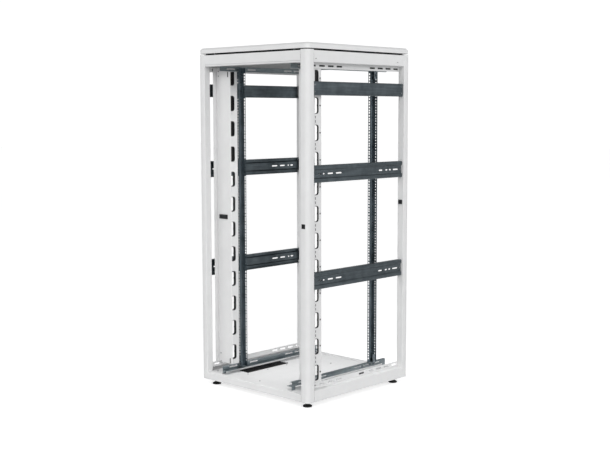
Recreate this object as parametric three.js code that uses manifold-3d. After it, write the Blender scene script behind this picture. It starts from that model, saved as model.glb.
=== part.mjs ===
// Open-frame network server rack, 36 units high, 800 mm wide and 800 mm deep.
// Millimetres, +Z up. The origin is the middle of the footprint, on the floor.
// The front of the rack faces -Y and its left side is at -X.

import * as THREE from 'three';
import { mergeVertices } from 'three/addons/utils/BufferGeometryUtils.js';
import Module from 'manifold-3d';

const wasm = await Module();
wasm.setup();

// ---------- driving dimensions ----------

const WIDTH = 800;
const DEPTH = 800;
const FRAME_HEIGHT = 1749;
const FOOT_CLEARANCE = 33;
const GAP = 0.3;
const SHEET = 2;
const CUT_REACH = 10;

const HALF_WIDTH = WIDTH / 2;
const HALF_DEPTH = DEPTH / 2;
const FRAME_BOTTOM = FOOT_CLEARANCE;
const FRAME_TOP = FRAME_BOTTOM + FRAME_HEIGHT;

// rolled tube posts at the four corners
const POST_SIZE = 48;
const POST_CHAMFER = 12;
const POST_CORNER_RADIUS = 28;
const POST_RISE = 4;

// beams between the posts
const BEAM_REACH = 35;
const TOP_FACE = 49;
const TOP_LIP = 10;
const TOP_LIP_STEP = 4;
const LOW_FACE = 40;
const SIDE_FACE = 59;
const SIDE_FLANGE = 28;
const BEAM_SLOT_LENGTH = 42;
const BEAM_SLOT_HEIGHT = 9;
const BEAM_SLOT_PITCH = 64.3;
const BEAM_SLOT_FIRST = 129;
const BEAM_SLOTS_PER_END = 4;
const LEDGE_HOLE = { centre: -262, length: 40, width: 16 };

// roof cover and its spacers
const ROOF_GAP = 9;
const ROOF_LIP = 19;
const ROOF_BEVEL_RISE = 10;
const ROOF_BEVEL_RUN = 12;
const SPACER_RADIUS = 6;
const SPACER_X = 290;
const SPACER_Y = 378.3;

// rack units and the 19 inch mounting rails
const RACK_UNIT = 44.45;
const RAIL_INNER = 225;
const RAIL_WEB = 245;
const RAIL_OUTER = 267;
const RAIL_WEB_DEPTH = 26;
const RAIL_UNITS = 36;
const RAIL_MARGIN = 10.5;
const FRONT_RAIL_FACE = 223;
const REAR_RAIL_FACE = 264;

// depth rails, which carry the mounting rails
const DEPTH_RAIL_OUTER = 262;
const DEPTH_RAIL_WIDTH = 14.5;
const DEPTH_RAIL_LEDGE = 36;
const DEPTH_RAIL_HEIGHT = 25;
const DEPTH_RAIL_HALF = 372;
const DEPTH_RAIL_LEVEL = 58;
const DEPTH_RAIL_FOOT = 24;
const DEPTH_SLOT_LENGTH = 62;
const DEPTH_SLOT_HEIGHT = 9;
const DEPTH_SLOT_CENTRES = [-294, -217, -140, 140, 217, 294];
const CLAMP_HEIGHT = 65;
const CLAMP_DEPTH = 22;

// side bars between the posts
const PLAIN_BAR_LEVEL = 1531;
const PLAIN_BAR_HEIGHT = 68;
const PLAIN_BAR_OUTER = 392;
const PLAIN_BAR_RETURN = 15;
const HAT_BAR_LEVELS = { middle: 1101, lower: 567 };
const HAT_BAR_HEIGHT = 86;
const HAT_BAR_OUTER = 390;
const HAT_BAR_GROOVE = 6;
const HAT_BAR_BAND = 24;
const HAT_BAR_INNER = 365;
const HAT_END_HEIGHT = 62;
const HAT_SLOT_HEIGHT = 7;
const HAT_SLOTS = [
  [-293, 22], [-265, 12], [-215.5, 40], [-153, 44],
  [178, 30], [226, 18], [255.5, 17], [301.5, 43],
];
const BAR_HALF = 351.5;

// vertical cable ducts beside the front rails
const DUCT_INNER = 252;
const DUCT_OUTER = 360;
const DUCT_FACE = 308;
const DUCT_LIP = 26;
const DUCT_DEPTH = 50;
const WINDOW_WIDTH = 27;
const WINDOW_HEIGHT = 80;
const WINDOW_RADIUS = 20;
const WINDOW_PITCH = 134.5;
const WINDOW_COUNT = 12;
const WINDOW_ROW_MIDDLE = { left: 891, right: 876 };
const DUCT_BOTTOM = DEPTH_RAIL_LEVEL + DEPTH_RAIL_HEIGHT + GAP;
const DUCT_TOP = 1687;
const DUCT_NOTCH_WIDTH = 24;
const DUCT_SLIT = { middle: 271, width: 8, length: 30 };

// black lock plates
const LOCK_WIDTH = 62;
const LOCK_HEIGHT = 23;
const LOCK_THICKNESS = 5;
const DUCT_LOCK_LEVEL = 877;
const DUCT_LOCK_MIDDLE = 311;
const REAR_LOCK_LEVEL = 955;
const REAR_LOCK_MIDDLE = 380;
const POST_LOCK_WIDTH = 24;
const FRONT_LOCK_LEVEL = 876.5;
const FRONT_LOCK_DEPTH = 8;
const FRONT_LOCK_SET_BACK = 0.4;
const FRONT_LOCK_MIDDLE = 370;
const LOCK_RIM = 6;
const LOCK_RECESS = 2;

// floor panels and the brushed cable entry
const FLOOR_LEVEL = LOW_FACE;
const FLOOR_HALF = 362.5;
const FLOOR_END = 364.5;
const FLOOR_CORNER = 13;
const FLOOR_SPLIT = 226;
const ENTRY = { left: -300, right: -152, front: -287, rear: 165 };
const BRUSH = { left: -250, right: -183, front: -257, rear: 53 };
const BRUSH_THICKNESS = 6;

// levelling feet
const FOOT_INSET = 58;
const PAD_RADIUS = 24;
const PAD_HEIGHT = 9;
const SOCKET_RADIUS = 12;
const SOCKET_HEIGHT = 14;
const STUD_RADIUS = 6;
const STUD_TOP = FRAME_BOTTOM + 34;
const COLLAR_RADIUS = 11;
const CORNER_PLATE_REACH = 110;

// ---------- materials ----------

function material(color, roughness, metalness) {
  return new THREE.MeshStandardMaterial({ color, roughness, metalness });
}

const paint = material(0xe6e6e6, 0.45, 0.0);
const zinc = material(0x66747e, 0.35, 0.9);
const blackPlastic = material(0x15161a, 0.5, 0.0);
const rubber = material(0x101012, 0.8, 0.0);
const bristle = material(0x0b0b0c, 0.9, 0.0);

const rack = new THREE.Group();
rack.name = 'server_rack';

function add(name, geometry, finish) {
  const mesh = new THREE.Mesh(geometry, finish);
  mesh.name = name;
  rack.add(mesh);
  return mesh;
}

// ---------- solids ----------

function toSolid(geometry) {
  const bare = geometry.clone();
  bare.deleteAttribute('normal');
  bare.deleteAttribute('uv');
  const merged = mergeVertices(bare, 1e-3);
  return new wasm.Manifold(new wasm.Mesh({
    numProp: 3,
    vertProperties: Float32Array.from(merged.attributes.position.array),
    triVerts: Uint32Array.from(merged.index.array),
  }));
}

function toGeometry(solid) {
  const mesh = solid.getMesh();
  const geometry = new THREE.BufferGeometry();
  geometry.setAttribute('position', new THREE.BufferAttribute(mesh.vertProperties, 3));
  geometry.setIndex(new THREE.BufferAttribute(mesh.triVerts, 1));
  return geometry;
}

function join(...geometries) {
  return toGeometry(geometries.map(toSolid).reduce((sum, solid) => sum.add(solid)));
}

function cut(geometry, cutters) {
  return toGeometry(cutters.map(toSolid).reduce((rest, tool) => rest.subtract(tool), toSolid(geometry)));
}

// A box given by its lowest and highest corner on each axis.
function block([x0, x1], [y0, y1], [z0, z1]) {
  const geometry = new THREE.BoxGeometry(Math.abs(x1 - x0), Math.abs(y1 - y0), z1 - z0);
  return geometry.translate((x0 + x1) / 2, (y0 + y1) / 2, (z0 + z1) / 2);
}

function polygon(points) {
  return new THREE.Shape(points.map(([x, y]) => new THREE.Vector2(x, y)));
}

// The outline of bent sheet metal: an open path, thickened to its left with mitred bends.
function bentSheet(path, thickness = SHEET) {
  const points = path.map(([x, y]) => new THREE.Vector2(x, y));
  const normals = points.slice(1).map((point, i) => {
    const along = point.clone().sub(points[i]).normalize();
    return new THREE.Vector2(-along.y, along.x);
  });
  const offset = points.map((point, i) => {
    const before = normals[Math.max(i - 1, 0)];
    const after = normals[Math.min(i, normals.length - 1)];
    const mitre = before.clone().add(after).divideScalar(1 + before.dot(after));
    return point.clone().addScaledVector(mitre, thickness);
  });
  return new THREE.Shape([...points, ...offset.reverse()]);
}

function upright(shape, z0, z1) {
  const options = { depth: z1 - z0, bevelEnabled: false, curveSegments: 6 };
  const geometry = new THREE.ExtrudeGeometry(shape, options);
  return geometry.translate(0, 0, z0);
}

// Sections of pieces that run along X are drawn in (Y, Z).
function alongX(shape, x0, x1) {
  const axes = new THREE.Matrix4().makeBasis(
    new THREE.Vector3(0, 1, 0),
    new THREE.Vector3(0, 0, 1),
    new THREE.Vector3(1, 0, 0),
  );
  return upright(shape, x0, x1).applyMatrix4(axes);
}

// Sections of pieces that run along Y are drawn in (X, Z).
function alongY(shape, y0, y1) {
  return upright(shape, -y1, -y0).rotateX(Math.PI / 2);
}

function turned(geometry, angle) {
  return geometry.clone().rotateZ(angle);
}

// A closed surface through rings of equal point count; the first and last rings are capped.
function rings(levels) {
  const count = levels[0].length;
  const position = levels.flatMap((ring) => ring.flatMap(([x, y, z]) => [x, y, z]));
  const index = [];
  for (let level = 0; level + 1 < levels.length; level += 1) {
    for (let i = 0; i < count; i += 1) {
      const a = level * count + i;
      const b = level * count + ((i + 1) % count);
      index.push(a, b, a + count, b, b + count, a + count);
    }
  }
  const last = (levels.length - 1) * count;
  for (let i = 1; i + 1 < count; i += 1) {
    index.push(0, i + 1, i);
    index.push(last, last + i, last + i + 1);
  }
  const geometry = new THREE.BufferGeometry();
  geometry.setAttribute('position', new THREE.Float32BufferAttribute(position, 3));
  geometry.setIndex(index);
  return geometry;
}

// A slot with rounded ends, as a closed outline.
function slotShape(centre, level, length, height) {
  const shape = new THREE.Shape();
  const radius = height / 2;
  const reach = length / 2 - radius;
  shape.absarc(centre + reach, level, radius, -Math.PI / 2, Math.PI / 2);
  shape.absarc(centre - reach, level, radius, Math.PI / 2, (3 * Math.PI) / 2);
  return polygon(shape.getPoints(3).slice(0, -1).map(({ x, y }) => [x, y]));
}

// A cutter through a vertical sheet that runs along Y, between two X planes.
function sideCutter(shape, x0, x1) {
  return alongX(shape, Math.min(x0, x1), Math.max(x0, x1));
}

// ---------- frame ----------

function postSection() {
  const inner = (size, radius) => {
    const shape = new THREE.Shape();
    const edge = POST_SIZE - size;
    shape.moveTo(edge, size);
    shape.lineTo(edge, POST_SIZE - POST_CHAMFER - size * 0.41);
    shape.lineTo(POST_SIZE - POST_CHAMFER - size * 0.41, edge);
    shape.lineTo(size, edge);
    shape.lineTo(size, POST_CORNER_RADIUS);
    shape.absarc(POST_CORNER_RADIUS, POST_CORNER_RADIUS, radius, Math.PI, 1.5 * Math.PI);
    return shape;
  };
  const outline = inner(0, POST_CORNER_RADIUS);
  outline.holes.push(inner(SHEET, POST_CORNER_RADIUS - SHEET));
  return outline;
}

// The space of the lock strike that is let into the front face of the right post.
function frontLockSpace(margin) {
  const half = POST_LOCK_WIDTH / 2 + margin;
  const low = FRAME_BOTTOM + FRONT_LOCK_LEVEL;
  return block(
    [FRONT_LOCK_MIDDLE - half, FRONT_LOCK_MIDDLE + half],
    [-HALF_DEPTH + FRONT_LOCK_SET_BACK - margin, -HALF_DEPTH + FRONT_LOCK_SET_BACK + FRONT_LOCK_DEPTH],
    [low - margin, low + LOCK_HEIGHT + margin],
  );
}

const CORNERS = [
  { name: 'front_left', x: -1, y: -1, turn: 0 },
  { name: 'front_right', x: 1, y: -1, turn: Math.PI / 2 },
  { name: 'rear_right', x: 1, y: 1, turn: Math.PI },
  { name: 'rear_left', x: -1, y: 1, turn: -Math.PI / 2 },
];
const SIDES = [
  { name: 'left', sign: -1 },
  { name: 'right', sign: 1 },
];

const post = upright(postSection(), FRAME_BOTTOM, FRAME_TOP + POST_RISE);
post.translate(-HALF_WIDTH, -HALF_DEPTH, 0);
for (const corner of CORNERS) {
  const turnedPost = turned(post, corner.turn);
  const solid = corner.name === 'front_right' ? cut(turnedPost, [frontLockSpace(2 * GAP)]) : turnedPost;
  add(`post_${corner.name}`, solid, paint);
}

const BEAM_HALF = HALF_WIDTH - POST_SIZE - GAP;
const BEAM_INNER = HALF_DEPTH - BEAM_REACH;

function frontTopBeam() {
  const low = FRAME_TOP - TOP_FACE - TOP_LIP;
  return alongX(bentSheet([
    [-BEAM_INNER, low],
    [-HALF_DEPTH + TOP_LIP_STEP, low],
    [-HALF_DEPTH + TOP_LIP_STEP, FRAME_TOP - TOP_FACE - TOP_LIP_STEP / 2],
    [-HALF_DEPTH, FRAME_TOP - TOP_FACE],
    [-HALF_DEPTH, FRAME_TOP],
    [-BEAM_INNER, FRAME_TOP],
  ], -SHEET), -BEAM_HALF, BEAM_HALF);
}

function frontBottomBeam() {
  return alongX(bentSheet([
    [-BEAM_INNER, FRAME_BOTTOM],
    [-HALF_DEPTH, FRAME_BOTTOM],
    [-HALF_DEPTH, FRAME_BOTTOM + LOW_FACE],
    [-BEAM_INNER, FRAME_BOTTOM + LOW_FACE],
  ], -SHEET), -BEAM_HALF, BEAM_HALF);
}

function flangeSlots(level) {
  const slots = [];
  for (let i = 0; i < BEAM_SLOTS_PER_END; i += 1) {
    const centre = BEAM_SLOT_FIRST + i * BEAM_SLOT_PITCH - (i === BEAM_SLOTS_PER_END - 1 ? 1 : 0);
    for (const end of [-1, 1]) {
      const shape = slotShape(end * centre, level, BEAM_SLOT_LENGTH, BEAM_SLOT_HEIGHT);
      slots.push(sideCutter(shape, BEAM_INNER - CUT_REACH, BEAM_INNER + CUT_REACH));
    }
  }
  return slots;
}

function rightTopBeam() {
  const low = FRAME_TOP - SIDE_FACE;
  const sheet = alongY(bentSheet([
    [BEAM_INNER, low - SIDE_FLANGE],
    [BEAM_INNER, low],
    [HALF_WIDTH, low],
    [HALF_WIDTH, FRAME_TOP],
    [BEAM_INNER, FRAME_TOP],
  ]), -BEAM_HALF, BEAM_HALF);
  return cut(sheet, flangeSlots(low - SIDE_FLANGE / 2));
}

function rightBottomBeam() {
  const high = FRAME_BOTTOM + SIDE_FACE;
  const sheet = alongY(bentSheet([
    [BEAM_INNER, high + SIDE_FLANGE],
    [BEAM_INNER, high],
    [HALF_WIDTH, high],
    [HALF_WIDTH, FRAME_BOTTOM],
    [BEAM_INNER, FRAME_BOTTOM],
  ], -SHEET), -BEAM_HALF, BEAM_HALF);
  const ledgeHole = slotShape(0, 0, LEDGE_HOLE.length, LEDGE_HOLE.width);
  const ledgeMiddle = (BEAM_INNER + HALF_WIDTH) / 2;
  const ledgeCut = upright(ledgeHole, high - CUT_REACH, high + CUT_REACH);
  ledgeCut.rotateZ(Math.PI / 2).translate(ledgeMiddle, LEDGE_HOLE.centre, 0);
  return cut(sheet, [...flangeSlots(high + SIDE_FLANGE / 2), ledgeCut]);
}

for (const [level, front, right] of [
  ['top', frontTopBeam(), rightTopBeam()],
  ['bottom', frontBottomBeam(), rightBottomBeam()],
]) {
  add(`${level}_beam_front`, front, paint);
  add(`${level}_beam_rear`, turned(front, Math.PI), paint);
  add(`${level}_beam_right`, right, paint);
  add(`${level}_beam_left`, turned(right, Math.PI), paint);
}

// ---------- roof ----------

const ROOF_LOW = FRAME_TOP + ROOF_GAP;
const ROOF_EDGE = ROOF_LOW + ROOF_LIP;
const ROOF_TOP = ROOF_EDGE + ROOF_BEVEL_RISE;

function roofRing(inset, z) {
  const shape = new THREE.Shape();
  const radius = POST_CORNER_RADIUS;
  const x = HALF_WIDTH - radius;
  const y = HALF_DEPTH - radius;
  const around = [[x, y, 0], [-x, y, 0.5], [-x, -y, 1], [x, -y, 1.5]];
  for (const [cx, cy, start] of around) {
    shape.absarc(cx, cy, radius - inset, start * Math.PI, (start + 0.5) * Math.PI);
  }
  return shape.getPoints(6).slice(0, -1).map((point) => [point.x, point.y, z]);
}

add('roof_cover', rings([
  roofRing(ROOF_BEVEL_RUN + SHEET / 2, ROOF_TOP - SHEET),
  roofRing(SHEET, ROOF_EDGE - SHEET / 2),
  roofRing(SHEET, ROOF_LOW),
  roofRing(0, ROOF_LOW),
  roofRing(0, ROOF_EDGE),
  roofRing(ROOF_BEVEL_RUN, ROOF_TOP),
]), paint);

for (const corner of CORNERS) {
  const height = ROOF_TOP - SHEET - FRAME_TOP - 2 * GAP;
  const spacer = new THREE.CylinderGeometry(SPACER_RADIUS, SPACER_RADIUS, height, 16);
  spacer.rotateX(Math.PI / 2);
  spacer.translate(corner.x * SPACER_X, corner.y * SPACER_Y, FRAME_TOP + GAP + height / 2);
  add(`roof_spacer_${corner.name}`, spacer, zinc);
}

// ---------- depth rails, mounting rails and clamps ----------

function depthRail(sign, level, footEnd) {
  const outer = sign * DEPTH_RAIL_OUTER;
  const inner = sign * (DEPTH_RAIL_OUTER - DEPTH_RAIL_WIDTH);
  const ledge = footEnd === undefined ? inner : sign * (DEPTH_RAIL_OUTER - DEPTH_RAIL_LEDGE);
  const channel = alongY(bentSheet([
    [ledge, level],
    [outer, level],
    [outer, level + DEPTH_RAIL_HEIGHT],
    [inner, level + DEPTH_RAIL_HEIGHT],
  ], sign * SHEET), -DEPTH_RAIL_HALF, DEPTH_RAIL_HALF);
  const web = [outer - sign * SHEET, outer];
  const pieces = [channel];
  for (const end of footEnd === undefined ? [] : [-1, 1]) {
    const reach = [end * (DEPTH_RAIL_HALF - DEPTH_RAIL_FOOT), end * DEPTH_RAIL_HALF];
    pieces.push(block(web, reach, [footEnd, level + SHEET]));
  }
  const slots = DEPTH_SLOT_CENTRES.map((centre) => {
    const shape = slotShape(centre, level + DEPTH_RAIL_HEIGHT / 2, DEPTH_SLOT_LENGTH, DEPTH_SLOT_HEIGHT);
    return sideCutter(shape, outer - CUT_REACH, outer + CUT_REACH);
  });
  return cut(join(...pieces), slots);
}

const LOW_RAIL = FRAME_BOTTOM + DEPTH_RAIL_LEVEL;
const HIGH_RAIL = FRAME_TOP - TOP_FACE - TOP_LIP - GAP - DEPTH_RAIL_HEIGHT;
const RAIL_BOTTOM = LOW_RAIL + DEPTH_RAIL_HEIGHT + GAP;
const RAIL_TOP = HIGH_RAIL - GAP;
const RAIL_MIDDLE = (RAIL_BOTTOM + RAIL_TOP) / 2;
const RAIL_HALF = (RAIL_UNITS * RACK_UNIT) / 2 + RAIL_MARGIN;

// The Z-section of a mounting rail: sign is the side, end is -1 at the front and 1 at the rear.
// Its inner flange and web run past the depth rails, between which its outer flange stops.
function mountingRail(sign, end, face) {
  const flangeAndWeb = [
    [sign * RAIL_INNER, end * face],
    [sign * RAIL_WEB, end * face],
    [sign * RAIL_WEB, end * (face + RAIL_WEB_DEPTH)],
  ];
  const outerFlange = [sign * RAIL_OUTER, end * (face + RAIL_WEB_DEPTH)];
  const thickness = -sign * end * SHEET;
  return join(
    upright(bentSheet(flangeAndWeb, thickness), RAIL_MIDDLE - RAIL_HALF, RAIL_MIDDLE + RAIL_HALF),
    upright(bentSheet([...flangeAndWeb, outerFlange], thickness), RAIL_BOTTOM, RAIL_TOP),
  );
}

function railClamp(sign, end, face, low) {
  const outside = sign * (DEPTH_RAIL_OUTER + GAP);
  const back = end * (face + RAIL_WEB_DEPTH - SHEET - GAP);
  const z0 = low ? LOW_RAIL : HIGH_RAIL + DEPTH_RAIL_HEIGHT - CLAMP_HEIGHT;
  const z1 = z0 + CLAMP_HEIGHT;
  const flangeHeight = low ? [RAIL_BOTTOM + GAP, z1] : [z0, RAIL_TOP - GAP];
  const flangeWidth = [sign * (RAIL_WEB + SHEET + GAP), outside + sign * SHEET];
  const plate = block([outside, outside + sign * SHEET], [back, back - end * CLAMP_DEPTH], [z0, z1]);
  return join(plate, block(flangeWidth, [back, back - end * SHEET], flangeHeight));
}

for (const { name, sign } of SIDES) {
  add(`depth_rail_bottom_${name}`, depthRail(sign, LOW_RAIL, FRAME_BOTTOM + LOW_FACE + GAP), zinc);
  add(`depth_rail_top_${name}`, depthRail(sign, HIGH_RAIL), zinc);
  for (const [place, end, face] of [['front', -1, FRONT_RAIL_FACE], ['rear', 1, REAR_RAIL_FACE]]) {
    add(`mounting_rail_${place}_${name}`, mountingRail(sign, end, face), zinc);
    add(`rail_clamp_${place}_${name}_bottom`, railClamp(sign, end, face, true), zinc);
    add(`rail_clamp_${place}_${name}_top`, railClamp(sign, end, face, false), zinc);
  }
}

// ---------- side bars ----------

function plainBar(sign) {
  const low = FRAME_BOTTOM + PLAIN_BAR_LEVEL;
  const high = low + PLAIN_BAR_HEIGHT;
  const outer = sign * PLAIN_BAR_OUTER;
  const inner = sign * (PLAIN_BAR_OUTER - PLAIN_BAR_RETURN);
  const section = bentSheet([[inner, low], [outer, low], [outer, high], [inner, high]], sign * SHEET);
  return alongY(section, -BAR_HALF, BAR_HALF);
}

function hatBar(sign, level) {
  const low = FRAME_BOTTOM + level;
  const high = low + HAT_BAR_HEIGHT;
  const outer = sign * HAT_BAR_OUTER;
  const groove = sign * (HAT_BAR_OUTER - HAT_BAR_GROOVE);
  const inner = sign * HAT_BAR_INNER;
  const hat = alongY(bentSheet([
    [inner, low],
    [outer, low],
    [outer, low + HAT_BAR_BAND - HAT_BAR_GROOVE],
    [groove, low + HAT_BAR_BAND],
    [groove, high - HAT_BAR_BAND],
    [outer, high - HAT_BAR_BAND + HAT_BAR_GROOVE],
    [outer, high],
    [inner, high],
  ], sign * SHEET), -BAR_HALF, BAR_HALF);
  const middle = low + HAT_BAR_HEIGHT / 2;
  const endHeight = [middle - HAT_END_HEIGHT / 2, middle + HAT_END_HEIGHT / 2];
  const pieces = [hat];
  for (const end of [-1, 1]) {
    pieces.push(block([inner, groove], [end * (BAR_HALF - SHEET), end * BAR_HALF], endHeight));
  }
  // the left bars are the right ones turned round
  const slots = HAT_SLOTS.map(([centre, length]) => {
    const shape = slotShape(sign * centre, middle, length, HAT_SLOT_HEIGHT);
    return sideCutter(shape, groove - CUT_REACH, groove + CUT_REACH);
  });
  return cut(join(...pieces), slots);
}

for (const { name, sign } of SIDES) {
  add(`side_bar_upper_${name}`, plainBar(sign), zinc);
  for (const [place, level] of Object.entries(HAT_BAR_LEVELS)) {
    add(`side_bar_${place}_${name}`, hatBar(sign, level), zinc);
  }
}

// ---------- cable ducts ----------

function windowShape(front, level) {
  const shape = new THREE.Shape();
  const rear = front + WINDOW_WIDTH;
  const low = level - WINDOW_HEIGHT / 2;
  const high = level + WINDOW_HEIGHT / 2;
  shape.moveTo(front, low);
  shape.lineTo(rear - WINDOW_RADIUS, low);
  shape.absarc(rear - WINDOW_RADIUS, low + WINDOW_RADIUS, WINDOW_RADIUS, -Math.PI / 2, 0);
  shape.absarc(rear - WINDOW_RADIUS, high - WINDOW_RADIUS, WINDOW_RADIUS, 0, Math.PI / 2);
  shape.lineTo(front, high);
  return polygon(shape.getPoints(3).map(({ x, y }) => [x, y]));
}

function cableDuct(sign, windowRowMiddle) {
  const rear = -DUCT_FACE + DUCT_DEPTH;
  const height = [FRAME_BOTTOM + DUCT_BOTTOM, FRAME_BOTTOM + DUCT_TOP];
  const channel = upright(bentSheet([
    [sign * DUCT_INNER, rear],
    [sign * DUCT_INNER, -DUCT_FACE],
    [sign * DUCT_OUTER, -DUCT_FACE],
    [sign * DUCT_OUTER, rear],
  ], sign * SHEET), ...height);
  const lip = block(
    [sign * (DUCT_OUTER - SHEET), sign * DUCT_OUTER],
    [-DUCT_FACE - DUCT_LIP, -DUCT_FACE + SHEET],
    height,
  );
  // the inner corner is cut away at the top to pass the depth rail
  const underRail = HIGH_RAIL - GAP;
  const notch = block(
    [sign * (DUCT_INNER - SHEET), sign * (DUCT_INNER + DUCT_NOTCH_WIDTH)],
    [-DUCT_FACE - SHEET, rear + SHEET],
    [underRail, height[1] + SHEET],
  );
  const slitSpan = [DUCT_SLIT.middle - DUCT_SLIT.width / 2, DUCT_SLIT.middle + DUCT_SLIT.width / 2];
  const slitDepth = [-DUCT_FACE - SHEET, -DUCT_FACE + 2 * SHEET];
  const slits = [
    [height[0] - SHEET, height[0] + DUCT_SLIT.length],
    [underRail - DUCT_SLIT.length, underRail + SHEET],
  ].map((levels) => block(slitSpan.map((x) => sign * x), slitDepth, levels));
  const cutters = [notch, ...slits];
  for (let i = 0; i < WINDOW_COUNT; i += 1) {
    const level = FRAME_BOTTOM + windowRowMiddle + (i - (WINDOW_COUNT - 1) / 2) * WINDOW_PITCH;
    const shape = windowShape(-DUCT_FACE + SHEET + GAP, level);
    cutters.push(sideCutter(shape, sign * (DUCT_INNER - CUT_REACH), sign * (DUCT_OUTER + CUT_REACH)));
  }
  return cut(join(channel, lip), cutters);
}

function lockPlate(width, height, thickness) {
  const plate = block([-width / 2, width / 2], [-thickness, 0], [0, height]);
  const half = width / 2 - LOCK_RIM;
  const pocketDepth = [-2 * thickness, LOCK_RECESS - thickness];
  const pocket = block([-half, half], pocketDepth, [LOCK_RIM, height - LOCK_RIM]);
  return cut(plate, [pocket]);
}

for (const { name, sign } of SIDES) {
  add(`cable_duct_${name}`, cableDuct(sign, WINDOW_ROW_MIDDLE[name]), paint);
}

const lock = lockPlate(LOCK_WIDTH, LOCK_HEIGHT, LOCK_THICKNESS);
lock.translate(-DUCT_LOCK_MIDDLE, -DUCT_FACE - GAP, FRAME_BOTTOM + DUCT_LOCK_LEVEL);
add('lock_plate_left_duct', lock, blackPlastic);
add('lock_plate_front_post', frontLockSpace(0), blackPlastic);

const strike = lockPlate(POST_LOCK_WIDTH, LOCK_HEIGHT, LOCK_THICKNESS);
strike.translate(REAR_LOCK_MIDDLE, HALF_DEPTH - POST_SIZE - GAP, FRAME_BOTTOM + REAR_LOCK_LEVEL);
add('lock_plate_rear_post', strike, blackPlastic);

// ---------- floor ----------

const FLOOR_TOP = FRAME_BOTTOM + FLOOR_LEVEL;

function rectangle({ left, right, front, rear }, inset = 0) {
  return [
    [left + inset, front + inset], [right - inset, front + inset],
    [right - inset, rear - inset], [left + inset, rear - inset],
  ];
}

// A flat plate with its top face at the given level and an optional opening through it.
function panel(outline, top, opening) {
  const shape = polygon(outline);
  if (opening) {
    shape.holes.push(polygon(rectangle(opening)));
  }
  return upright(shape, top - SHEET, top);
}

// The floor reaches the beams, with its corners cut back to clear the posts.
function floorOutline(end, inner) {
  const outer = end * FLOOR_END;
  const cutX = FLOOR_HALF - FLOOR_CORNER;
  const cutY = end * (FLOOR_END - FLOOR_CORNER);
  return [
    [-FLOOR_HALF, inner], [-FLOOR_HALF, cutY], [-cutX, outer],
    [cutX, outer], [FLOOR_HALF, cutY], [FLOOR_HALF, inner],
  ];
}

add('floor_panel_main', panel(floorOutline(-1, FLOOR_SPLIT), FLOOR_TOP, ENTRY), paint);
add('floor_panel_rear', panel(floorOutline(1, FLOOR_SPLIT + GAP), FLOOR_TOP - SHEET), paint);
add('cable_entry_plate', panel(rectangle(ENTRY, GAP), FLOOR_TOP - SHEET, BRUSH), paint);
const brushLevel = FLOOR_TOP - 2 * SHEET;
const brush = upright(polygon(rectangle(BRUSH, GAP)), brushLevel, brushLevel + BRUSH_THICKNESS);
add('entry_brush', brush, bristle);

// ---------- levelling feet ----------

function footPad() {
  const profile = [
    [0, 0], [PAD_RADIUS - 1, 0], [PAD_RADIUS, 1.5], [PAD_RADIUS - 1, PAD_HEIGHT - 2],
    [PAD_RADIUS - 4, PAD_HEIGHT], [SOCKET_RADIUS, PAD_HEIGHT + 1], [SOCKET_RADIUS - 1, SOCKET_HEIGHT],
    [STUD_RADIUS + GAP, SOCKET_HEIGHT], [STUD_RADIUS + GAP, PAD_HEIGHT], [0, PAD_HEIGHT],
  ];
  return lathe(profile);
}

function lathe(profile) {
  const geometry = new THREE.LatheGeometry(profile.map(([r, z]) => new THREE.Vector2(r, z)), 16);
  return geometry.rotateX(Math.PI / 2);
}

function footStud() {
  const shaft = lathe([
    [0, PAD_HEIGHT + GAP], [STUD_RADIUS - 1, PAD_HEIGHT + GAP], [STUD_RADIUS, PAD_HEIGHT + 1.5],
    [STUD_RADIUS, STUD_TOP - 1.5], [STUD_RADIUS - 1.5, STUD_TOP], [0, STUD_TOP],
  ]);
  const collar = new THREE.CylinderGeometry(COLLAR_RADIUS, COLLAR_RADIUS, 8, 6);
  collar.rotateX(Math.PI / 2).translate(0, 0, SOCKET_HEIGHT + 6);
  return join(shaft, collar);
}

// An L-shaped plate round the foot of each post, with the hole that the stud is screwed through.
function cornerPlate() {
  const outer = SHEET + GAP;
  const notch = POST_SIZE + GAP;
  const shape = polygon([
    [notch, outer], [CORNER_PLATE_REACH, outer], [CORNER_PLATE_REACH, CORNER_PLATE_REACH],
    [outer, CORNER_PLATE_REACH], [outer, notch], [notch, notch],
  ]);
  const hole = new THREE.Path();
  hole.absarc(FOOT_INSET, FOOT_INSET, STUD_RADIUS + GAP, 0, 2 * Math.PI);
  shape.holes.push(hole);
  return upright(shape, FRAME_BOTTOM + SHEET + GAP, FRAME_BOTTOM + SHEET + GAP + 4);
}

const plate = cornerPlate().translate(-HALF_WIDTH, -HALF_DEPTH, 0);
for (const corner of CORNERS) {
  const x = corner.x * (HALF_WIDTH - FOOT_INSET);
  const y = corner.y * (HALF_DEPTH - FOOT_INSET);
  add(`corner_plate_${corner.name}`, turned(plate, corner.turn), zinc);
  add(`foot_pad_${corner.name}`, footPad().translate(x, y, 0), rubber);
  add(`foot_stud_${corner.name}`, footStud().translate(x, y, 0), zinc);
}

export default rack;
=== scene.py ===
"""Visual model of an open network server rack, 36 units high, on an 800 x 800 mm footprint.

Lengths are millimetres until a mesh is made. +Z is up and the front of the rack faces -Y.
"""

import math
import random

import bmesh
import bpy
from mathutils import Matrix, Vector
from mathutils.geometry import delaunay_2d_cdt


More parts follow.
